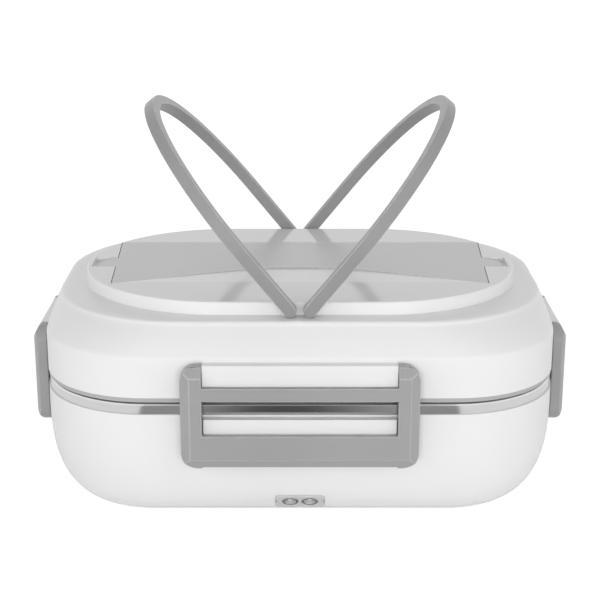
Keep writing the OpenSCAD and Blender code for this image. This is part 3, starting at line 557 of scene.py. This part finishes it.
def put_on_corners(tree, given, made, shape, material, turn=None):
    """Puts a shape on the four corners of a rectangle, and ends the tree."""
    spans = {"Size X": given["Span X"], "Size Y": given["Span Y"]}
    grid = shape_node(tree, "MeshGrid", {**spans, "Vertices X": 2, "Vertices Y": 2})
    lift = joined(tree, Z=given["Base Height"])
    raised = shape_node(tree, "Transform", {"Geometry": grid, "Translation": lift})
    copies = place(tree, "GeometryNodeInstanceOnPoints", {"Points": raised, "Instance": shape})
    if turn is not None:
        tree.links.new(turn, copies.inputs["Rotation"])
    end_tree(tree, made, copies.outputs[0], material)


def grow(tree, **values):
    """Runs a tree on an empty mesh and returns the plain mesh it makes."""
    holder = bpy.data.objects.new("holder", bpy.data.meshes.new("holder"))
    bpy.context.collection.objects.link(holder)
    modifier = holder.modifiers.new("tree", "NODES")
    modifier.node_group = tree
    for item in tree.interface.items_tree:
        if item.in_out == "INPUT" and item.name in values:
            modifier[item.identifier] = values[item.name]
    mesh = baked(holder)
    bpy.data.objects.remove(holder)
    return mesh


# %% Feet
FOOT_SIDES = 48


def make_feet():
    tree, given, made = new_group(
        "rubber_feet",
        "GeometryNodeTree",
        {
            "Top Radius": 0.007, "Bottom Radius": 0.0066, "Height": 0.0024,
            "Base Height": 0.0, "Span X": 0.133, "Span Y": 0.074,
        },
        {"Geometry": "NodeSocketGeometry"},
    )
    radii = {"Radius Top": given["Top Radius"], "Radius Bottom": given["Bottom Radius"]}
    foot = shape_node(tree, "MeshCone", {"Vertices": FOOT_SIDES, **radii, "Depth": given["Height"]})
    put_on_corners(tree, given, made, foot, foot_rubber)
    finish_piece("rubber_feet", grow(tree), foot_rubber, "base", "feet", bevel=0.0004)


make_feet()

# %% [markdown]
# ## The screws
# Each screw is a round head with a cross recess on a plain shank, since its thread is inside the
# base. The recess is two boxes cut out of the head. A random turn with a fixed seed leaves every
# cross at its own angle, as a screwdriver does.

# %% Screws
SCREW_SIDES = 40
SHANK_START = 0.9  # where the shank begins, as a share of the head's height, clear of the recess


def make_screws():
    tree, given, made = new_group(
        "base_screws",
        "GeometryNodeTree",
        {
            "Head Radius": 0.003, "Head Height": 0.0016, "Shank Radius": 0.0014, "Length": 0.0163,
            "Recess Length": 0.0036, "Recess Width": 0.0008, "Recess Depth": 0.0007,
            "Base Height": 0.0007, "Span X": 0.160, "Span Y": 0.041, "Seed": 7,
        },
        {"Geometry": "NodeSocketGeometry"},
    )
    long, wide = given["Recess Length"], given["Recess Width"]

    def rod(radius, low, high):
        length = calc(tree, "SUBTRACT", high, low)
        middle = joined(tree, Z=times(tree, calc(tree, "ADD", low, high), 0.5))
        sizes = {"Vertices": SCREW_SIDES, "Radius": radius, "Depth": length}
        bar = shape_node(tree, "MeshCylinder", sizes)
        return shape_node(tree, "Transform", {"Geometry": bar, "Translation": middle})

    def slot(x, y):
        deep = times(tree, given["Recess Depth"], 2.0)
        return shape_node(tree, "MeshCube", {"Size": joined(tree, X=x, Y=y, Z=deep)})

    whole_head = rod(given["Head Radius"], 0.0, given["Head Height"])
    head = place(tree, "GeometryNodeMeshBoolean", {0: whole_head}, operation="DIFFERENCE")
    for cut in (slot(long, wide), slot(wide, long)):
        tree.links.new(cut, head.inputs[1])
    neck = times(tree, given["Head Height"], SHANK_START)
    screw = place(tree, "GeometryNodeJoinGeometry")
    for piece in (rod(given["Shank Radius"], neck, given["Length"]), head.outputs[0]):
        tree.links.new(piece, screw.inputs[0])
    chance = place(
        tree,
        "FunctionNodeRandomValue",
        {"Seed": given["Seed"], 3: math.radians(90)},
        data_type="FLOAT",
    )
    turn = joined(tree, Z=chance.outputs[1])
    put_on_corners(tree, given, made, screw.outputs[0], zinc_steel, turn)
    finish_piece("case_screws", grow(tree), zinc_steel, "base", "base_screws", bevel=0.0001)


make_screws()

# %% [markdown]
# ## The steel container and the seal
# Only the container's rolled flange shows, as a bright line over a darker band. The seal is a grey
# line between the band and the lid. Both are round enough in CAD, so smooth copies will do.

# %% Container and seal
smooth_copy("steel_container", stainless_steel, "container", flatten=0)
smooth_copy("lid_seal", seal_rubber, "lid", flatten=0)

# %% [markdown]
# ## The lid
# The lid's upright wall turns over a soft crease into a sloping shoulder, and the shoulder ends in
# a rounded lip round the ledge. In CAD the shoulder is a loft of flat facets. Here the outer skin
# is rebuilt as rings of a rounded rectangle that change size, corner and height together, which
# gives one even surface. The rest of the lid comes from the CAD mesh, without the faces the skin
# replaces.

# %% Measures of the lid: half length, half width and corner radius of an outline
BODY = (0.115, 0.0855, 0.0485)
CROWN = (0.1017, 0.0665, 0.0663)
LID_BOTTOM, LEDGE_Z, CROWN_TOP = 0.0626, 0.094, 0.0996


def inset_in(outline, x, y):
    """How far a point in plan lies inside a rounded rectangle."""
    half_x, half_y, radius = outline
    qx, qy = abs(x) - (half_x - radius), abs(y) - (half_y - radius)
    return radius - math.hypot(max(qx, 0), max(qy, 0)) - min(max(qx, qy), 0)


print("lid from", LID_BOTTOM, "to", CROWN_TOP)

# %% One ring
CORNERS = [(1, -1, -90), (1, 1, 0), (-1, 1, 90), (-1, -1, 180)]
CORNER_STEPS, SIDE_STEPS = 16, 8


def ring_points(half_x, half_y, radius, z):
    """Points round a rounded rectangle: an arc at each corner, and a straight run to the next."""
    arcs = []
    for side_x, side_y, start in CORNERS:
        middle_x, middle_y = side_x * (half_x - radius), side_y * (half_y - radius)
        arc = []
        for i in range(CORNER_STEPS + 1):
            a = math.radians(start + 90 * i / CORNER_STEPS)
            arc.append((middle_x + radius * math.cos(a), middle_y + radius * math.sin(a)))
        arcs.append(arc)
    points = []
    for k, arc in enumerate(arcs):
        points += arc
        last, after = arc[-1], arcs[(k + 1) % len(arcs)][0]
        for i in range(1, SIDE_STEPS):
            t = i / SIDE_STEPS
            points.append(tuple(a * (1 - t) + b * t for a, b in zip(last, after)))
    return [Vector((x, y, z)) for x, y in points]


# %% Rings from the lid's lower edge to the crown's foot
WALL_HEIGHTS = (LID_BOTTOM, 0.0630, 0.066, 0.072, 0.0775, 0.0796)
CREASE_RINGS = [
    (0.11496, 0.08541, 0.0485, 0.0804),
    (0.11480, 0.08512, 0.0486, 0.0811),
    (0.11456, 0.08462, 0.0487, 0.0818),
]
SHOULDER_STEPS = 9
SHOULDER_CHANGE = (-0.0031, -0.0078, 0.0113, 0.0101)  # of each measure, over the whole shoulder
BULGE, BULGE_SHARES = 0.0004, (0.6, 1.0, 0.0, 0.0)
LIP_RINGS = [
    (0.11135, 0.07672, 0.0600, 0.0920),
    (0.11112, 0.07648, 0.0601, 0.0927),
    (0.11080, 0.07618, 0.0603, 0.0933),
    (0.11020, 0.07580, 0.0606, 0.09374),
    (0.10910, 0.07530, 0.0614, 0.09395),
    (0.10740, 0.07470, 0.0627, LEDGE_Z),
    (0.10600, 0.07410, 0.0636, LEDGE_Z),
    (0.10380, 0.07020, 0.0650, LEDGE_Z),
    (0.10150, 0.06630, 0.0661, LEDGE_Z),
]


def lid_rings():
    rings = [(*BODY, z) for z in WALL_HEIGHTS] + CREASE_RINGS
    for i in range(1, SHOULDER_STEPS):
        t = i / SHOULDER_STEPS
        bulge = BULGE * math.sin(math.pi * t)
        steps = zip(CREASE_RINGS[-1], SHOULDER_CHANGE, BULGE_SHARES)
        rings.append(tuple(start + change * t + bulge * share for start, change, share in steps))
    return rings + LIP_RINGS


def skin_from_rings(shape, rings):
    loops = [[shape.verts.new(p) for p in ring_points(*ring)] for ring in rings]
    count = len(loops[0])
    for low, high in zip(loops, loops[1:]):
        for i in range(count):
            j = (i + 1) % count
            shape.faces.new((low[i], low[j], high[j], high[i]))


print("rings in the skin:", len(lid_rings()))

# %% Join the skin with the rest of the lid
UPRIGHT, SLOPING, LEVEL = 0.02, 0.05, 0.9999  # how far up a face looks: 0 is sideways, 1 is up
WALL_TOP, SHOULDER_FOOT = 0.0804, 0.0802
WALL_SLACK, CROWN_SLACK, HEIGHT_SLACK = 0.00004, 0.0001, 0.00002


def skin_replaces(face):
    spot, up = face.calc_center_median(), face.normal.z
    from_wall = abs(inset_in(BODY, spot.x, spot.y))
    on_wall = abs(up) < UPRIGHT and spot.z < WALL_TOP and from_wall < WALL_SLACK
    beside_crown = inset_in(CROWN, spot.x, spot.y) < CROWN_SLACK
    in_height = SHOULDER_FOOT < spot.z < LEDGE_Z + HEIGHT_SLACK
    return on_wall or (in_height and up > SLOPING and beside_crown)


def on_crown_top(face):
    return face.normal.z > LEVEL and face.center.z > CROWN_TOP - HEIGHT_SLACK


def build_lid():
    mesh, shape = merged_copy("lid_shell", flatten=0)
    drop = [face for face in shape.faces if skin_replaces(face)]
    print("faces the skin takes over:", len(drop))
    bmesh.ops.delete(shape, geom=drop, context="FACES")
    flatten_areas(shape, FLAT_ANGLE)
    skin_from_rings(shape, lid_rings())
    shape.to_mesh(mesh)
    shape.free()
    lid = finish_piece("lid_moulding", mesh, white_plastic, "lid", "lid_shell", sharp=28)
    # The crown top is marked for polish and for a touch of painted shade.
    mark_faces(lid.data, "polish_and_painted_shade", on_crown_top)


build_lid()

# %% [markdown]
# ## The handles
# Each handle is one flat bar bent into a bow: two straight legs and a half circle, with a pin on
# each leg that turns in the crown. The whole shape follows a rule, so a Geometry Nodes tree makes
# it. A straight line of points is moved onto the bow by arithmetic, a rounded rectangle is swept
# along it, and the leg ends are thinned to a half round about the pivot, so that they clear the
# ledge.

# %% The bow's middle line
LEG_REACH = 0.499  # how far the legs run on past the pivot, as a share of the bar's thickness


def bow_line(tree, given):
    """A curve in the XY plane: two legs along X, joined by a half circle."""
    line = shape_node(tree, "CurvePrimitiveLine", {"Start": (-1, 0, 0), "End": (1, 0, 0)})
    points = shape_node(tree, "ResampleCurve", {"Curve": line, "Count": given["Steps"]})
    where = parted(tree, shape_node(tree, "InputPosition"))["X"]
    cubed = times(tree, calc(tree, "POWER", where, 3.0), 0.5)
    eased = calc(tree, "SUBTRACT", times(tree, where, 1.5), cubed)
    radius, leg = given["Bow Radius"], given["Leg Length"]
    quarter = times(tree, radius, math.pi / 2)
    whole_leg = calc(tree, "ADD", leg, times(tree, given["Band Thickness"], LEG_REACH))
    along = times(tree, eased, calc(tree, "ADD", quarter, whole_leg))
    turned = calc(tree, "DIVIDE", along, radius)
    angle = calc(tree, "MINIMUM", calc(tree, "MAXIMUM", turned, -math.pi / 2), math.pi / 2)
    past_arc = calc(tree, "SUBTRACT", along, times(tree, angle, radius))
    beyond = calc(tree, "ABSOLUTE", past_arc)
    out = calc(tree, "ADD", leg, times(tree, calc(tree, "COSINE", angle), radius))
    across = times(tree, calc(tree, "SINE", angle), radius)
    spot = joined(tree, X=calc(tree, "SUBTRACT", out, beyond), Y=across)
    moved = shape_node(tree, "SetPosition", {"Geometry": points, "Position": spot})
    return shape_node(tree, "SetCurveNormal", {"Curve": moved}, mode="Z_UP")


# %% The bar's outline, with the middle of each rounded edge marked for wear and a painted highlight
FILLET_STEPS = 4


def bar_outline(tree, given):
    sizes = {"Width": given["Band Width"], "Height": given["Band Thickness"]}
    box = shape_node(tree, "CurvePrimitiveQuadrilateral", sizes)
    fillet = {"Curve": box, "Count": FILLET_STEPS, "Radius": given["Edge Radius"]}
    outline = shape_node(tree, "FilletCurve", fillet, mode="POLY")
    step = calc(tree, "MODULO", shape_node(tree, "InputIndex"), FILLET_STEPS + 1.0)
    from_middle = calc(tree, "ABSOLUTE", calc(tree, "SUBTRACT", step, FILLET_STEPS / 2))
    on_edge = calc(tree, "LESS_THAN", from_middle, 0.5)
    return shape_node(
        tree,
        "StoreNamedAttribute",
        {"Geometry": outline, "Name": "edge", "Value": on_edge},
        data_type="FLOAT",
        domain="POINT",
    )


# %% The bar and its round ends
THINNEST = 0.0012  # keeps the very end of a leg from closing to a line


def bow_bar(tree, given):
    outline = bar_outline(tree, given)
    sweep = {"Curve": bow_line(tree, given), "Profile Curve": outline, "Fill Caps": True}
    bar = shape_node(tree, "CurveToMesh", sweep)
    spot = parted(tree, shape_node(tree, "InputPosition"))
    half = times(tree, given["Band Thickness"], 0.5)
    past = calc(tree, "DIVIDE", calc(tree, "MINIMUM", spot["X"], 0.0), half)
    left = calc(tree, "SUBTRACT", 1.0, times(tree, past, past))
    thin = times(tree, spot["Z"], calc(tree, "SQRT", calc(tree, "MAXIMUM", left, THINNEST)))
    rounded = joined(tree, X=spot["X"], Y=spot["Y"], Z=thin)
    return shape_node(tree, "SetPosition", {"Geometry": bar, "Position": rounded})


# %% One pin
PIN_SIDES = 32
PIN_START, PIN_OVERLAP = 0.3, 0.2  # shares of the bar's width: from its middle line, and sunk in it


def handle_pin(tree, given, side):
    inset = times(tree, given["Band Width"], PIN_START)
    inner = calc(tree, "SUBTRACT", given["Bow Radius"], inset)
    length = calc(tree, "ADD", given["Pin Length"], times(tree, given["Band Width"], PIN_OVERLAP))
    middle = calc(tree, "SUBTRACT", inner, times(tree, length, 0.5))
    sizes = {"Vertices": PIN_SIDES, "Radius": given["Pin Radius"], "Depth": length}
    spot = joined(tree, Y=times(tree, middle, side))
    laid = {"Translation": spot, "Rotation": (math.pi / 2, 0, 0)}
    pin = shape_node(tree, "MeshCylinder", sizes)
    return shape_node(tree, "Transform", {"Geometry": pin, **laid})


# %% The whole handle
def make_handle_tree():
    tree, given, made = new_group(
        "carry_handle",
        "GeometryNodeTree",
        {
            "Bow Radius": 0.0693, "Leg Length": 0.031, "Band Width": 0.0052,
            "Band Thickness": 0.0057, "Edge Radius": 0.0007, "Pin Radius": 0.0015,
            "Pin Length": 0.0032, "Steps": 200, "Pivot Out": 0.0044, "Pivot Height": 0.09705,
            "Tilt": math.radians(50.8), "Turn": 0.0,
        },
        {"Geometry": "NodeSocketGeometry"},
    )
    whole = place(tree, "GeometryNodeJoinGeometry")
    tree.links.new(bow_bar(tree, given), whole.inputs[0])
    for side in (-1.0, 1.0):
        tree.links.new(handle_pin(tree, given, side), whole.inputs[0])
    lean = joined(tree, Y=times(tree, given["Tilt"], -1.0))
    pivot = joined(tree, X=given["Pivot Out"], Z=given["Pivot Height"])
    tilted = {"Geometry": whole.outputs[0], "Translation": pivot, "Rotation": lean}
    stood = shape_node(tree, "Transform", tilted)
    about = joined(tree, Z=given["Turn"])
    turned = shape_node(tree, "Transform", {"Geometry": stood, "Rotation": about})
    end_tree(tree, made, turned, handle_plastic)
    return tree


handle_tree = make_handle_tree()
for side, body, turn in (("right", "handle_r", 0.0), ("left", "handle_l", math.pi)):
    mesh = grow(handle_tree, Turn=turn)
    finish_piece("carry_handle_" + side, mesh, handle_plastic, body, "handle_" + side, sharp=40)

# %% [markdown]
# ## Latches and cutlery cover
# Four latches hang from the lid and hook under ribs on the base, and a grey cover closes the
# cutlery compartment. All five are flat mouldings with crisp edges. They could be modelled again
# with round edges, but a narrow bevel on a merged copy is enough to give the light line along each
# edge that the photograph shows.

# %% Latches and cover
# The bevel's faces are marked, and the finish paints them paler: partly wear, partly painted
# highlight.
latch_bodies = {"front": "latch_f", "back": "latch_b", "left": "latch_l", "right": "latch_r"}
for side, body in latch_bodies.items():
    smooth_copy("latch_" + side, grey_plastic, body, bevel=0.00035, sharp=20)
smooth_copy("cutlery_cover", cover_plastic, "cover", bevel=0.00022)

# %% [markdown]
# ## The floor
# A pale floor keeps a faint shadow under the box, and glows just enough to look white to the
# camera. In the photograph something dark stands in front of the box, and the flat front of the
# steel band mirrors it. A dark board could stand there, but it would show in other views. So the
# floor is dark in one patch in front of the box, for reflections only.

# %% The floor's material
PALE, PATCH_MIDDLE, PATCH_SIDES = grey(0.9), grey(0.08), grey(0.33)
PATCH_EDGE = (0.104, 0.094)  # where the patch fades out to the left and right
PATCH_FRONT = (-0.15, -0.19)  # and towards the box
PATCH_SHIFT, PATCH_FADE = 0.008, (0.015, 0.055)
GLOW, MIRROR_SHARE, GLOW_SHARE = 1.3, 0.45, 0.8


def floor_material():
    material, tree, surface = new_material("floor")
    surface.inputs["Roughness"].default_value = 0.9
    surface.inputs["Specular IOR Level"].default_value = 0.1
    ray = place(tree, "ShaderNodeLightPath").outputs
    spot = parted(tree, place(tree, "ShaderNodeTexCoord").outputs["Object"])
    inside = ranged(tree, calc(tree, "ABSOLUTE", spot["X"]), *PATCH_EDGE)
    ahead = ranged(tree, spot["Y"], *PATCH_FRONT)
    patch = times(tree, times(tree, inside, ahead), ray["Is Glossy Ray"])
    aside = calc(tree, "ABSOLUTE", calc(tree, "ADD", spot["X"], PATCH_SHIFT))
    dark = blend_colour(tree, ranged(tree, aside, *PATCH_FADE), PATCH_MIDDLE, PATCH_SIDES)
    shade = blend_colour(tree, patch, PALE, dark)
    tree.links.new(shade, surface.inputs["Base Color"])
    glow = place(tree, "ShaderNodeEmission", {"Color": shade, "Strength": GLOW}).outputs[0]
    mirrored = times(tree, ray["Is Glossy Ray"], MIRROR_SHARE)
    seen = calc(tree, "MAXIMUM", ray["Is Camera Ray"], mirrored)
    ends = {0: times(tree, seen, GLOW_SHARE), 1: surface.outputs[0], 2: glow}
    blend = place(tree, "ShaderNodeMixShader", ends)
    tree.links.new(blend.outputs[0], tree.nodes["Material Output"].inputs["Surface"])
    return material


# %% Floor
FLOOR_SIZE = 3.0


def make_floor():
    shape = bmesh.new()
    bmesh.ops.create_grid(shape, x_segments=1, y_segments=1, size=FLOOR_SIZE)
    mesh = bpy.data.meshes.new("floor")
    shape.to_mesh(mesh)
    shape.free()
    floor = bpy.data.objects.new("floor", mesh)
    bpy.context.collection.objects.link(floor)
    mesh.materials.append(floor_material())
    print("floor:", 2 * FLOOR_SIZE, "m wide")


make_floor()

# %% [markdown]
# ## The world
# The backdrop is the world itself. The camera sees it white, and so do reflections, apart from a
# dimmer upright strip straight in front. As a light it is dimmer, above all overhead, so that the
# white plastic isn't washed out.

# %% World
WORLD_LOW, WORLD_HIGH = 0.60, 0.46  # strength as a light, at the horizon and overhead
OVERHEAD = 0.4  # the height of a direction from which the overhead strength holds; 1 is straight up
STRIP_STRENGTH, STRIP_EDGE = 0.3, (0.08, 0.13)  # the edge is how far aside a direction points


def make_world():
    world = bpy.data.worlds.new("studio")
    bpy.context.scene.world = world
    world.use_nodes = True
    tree = world.node_tree
    tree.nodes.clear()
    way = parted(tree, place(tree, "ShaderNodeTexCoord").outputs["Generated"])
    ray = place(tree, "ShaderNodeLightPath").outputs
    strength = ranged(tree, way["Z"], 0.0, OVERHEAD, WORLD_LOW, WORLD_HIGH)
    strip = ranged(tree, calc(tree, "ABSOLUTE", way["X"]), *STRIP_EDGE, STRIP_STRENGTH)
    clear = calc(tree, "MAXIMUM", strip, calc(tree, "GREATER_THAN", way["Y"], 0.0))
    clear = calc(tree, "MAXIMUM", clear, ray["Is Camera Ray"])
    white = (1, 1, 1, 1)
    seen = place(tree, "ShaderNodeBackground", {"Color": white, "Strength": clear}).outputs[0]
    light = place(tree, "ShaderNodeBackground", {"Color": white, "Strength": strength}).outputs[0]
    shown = calc(tree, "MAXIMUM", ray["Is Camera Ray"], ray["Is Transmission Ray"])
    shown = calc(tree, "MAXIMUM", shown, ray["Is Glossy Ray"])
    blend = place(tree, "ShaderNodeMixShader", {0: shown, 1: light, 2: seen})
    place(tree, "ShaderNodeOutputWorld", {0: blend.outputs[0]})
    print("world strength as a light:", WORLD_LOW, "to", WORLD_HIGH)


make_world()

# %% [markdown]
# ## The lamps
# The photograph's light is very soft and comes mostly from the front and low. One wide lamp in
# front gives most of it, two at the sides model the corners, and one behind lights the other
# views. None of them shows in reflections, because the photograph has no bright lamp shapes in its
# gloss.

# %% Lamps
AIM = Vector((0, 0, 0.05))
WIDE, SQUARE = (1.8, 0.5), (0.8, 0.8)


def soft_lamp(name, spot, size, power):
    data = bpy.data.lights.new(name, "AREA")
    data.shape = "RECTANGLE"
    data.size, data.size_y = size
    data.energy = power
    lamp = bpy.data.objects.new(name, data)
    bpy.context.collection.objects.link(lamp)
    lamp.location = spot
    lamp.rotation_euler = (AIM - Vector(spot)).to_track_quat("-Z", "Y").to_euler()
    lamp.visible_glossy = False


soft_lamp("front_soft", (0.0, -1.5, 0.2), WIDE, 11.0)
soft_lamp("left_soft", (-1.2, -0.7, 0.7), SQUARE, 3.5)
soft_lamp("right_soft", (1.2, -0.7, 0.7), SQUARE, 3.5)
soft_lamp("back_soft", (0.0, 1.5, 0.35), WIDE, 7.0)
print("lamps:", len(bpy.data.lights))
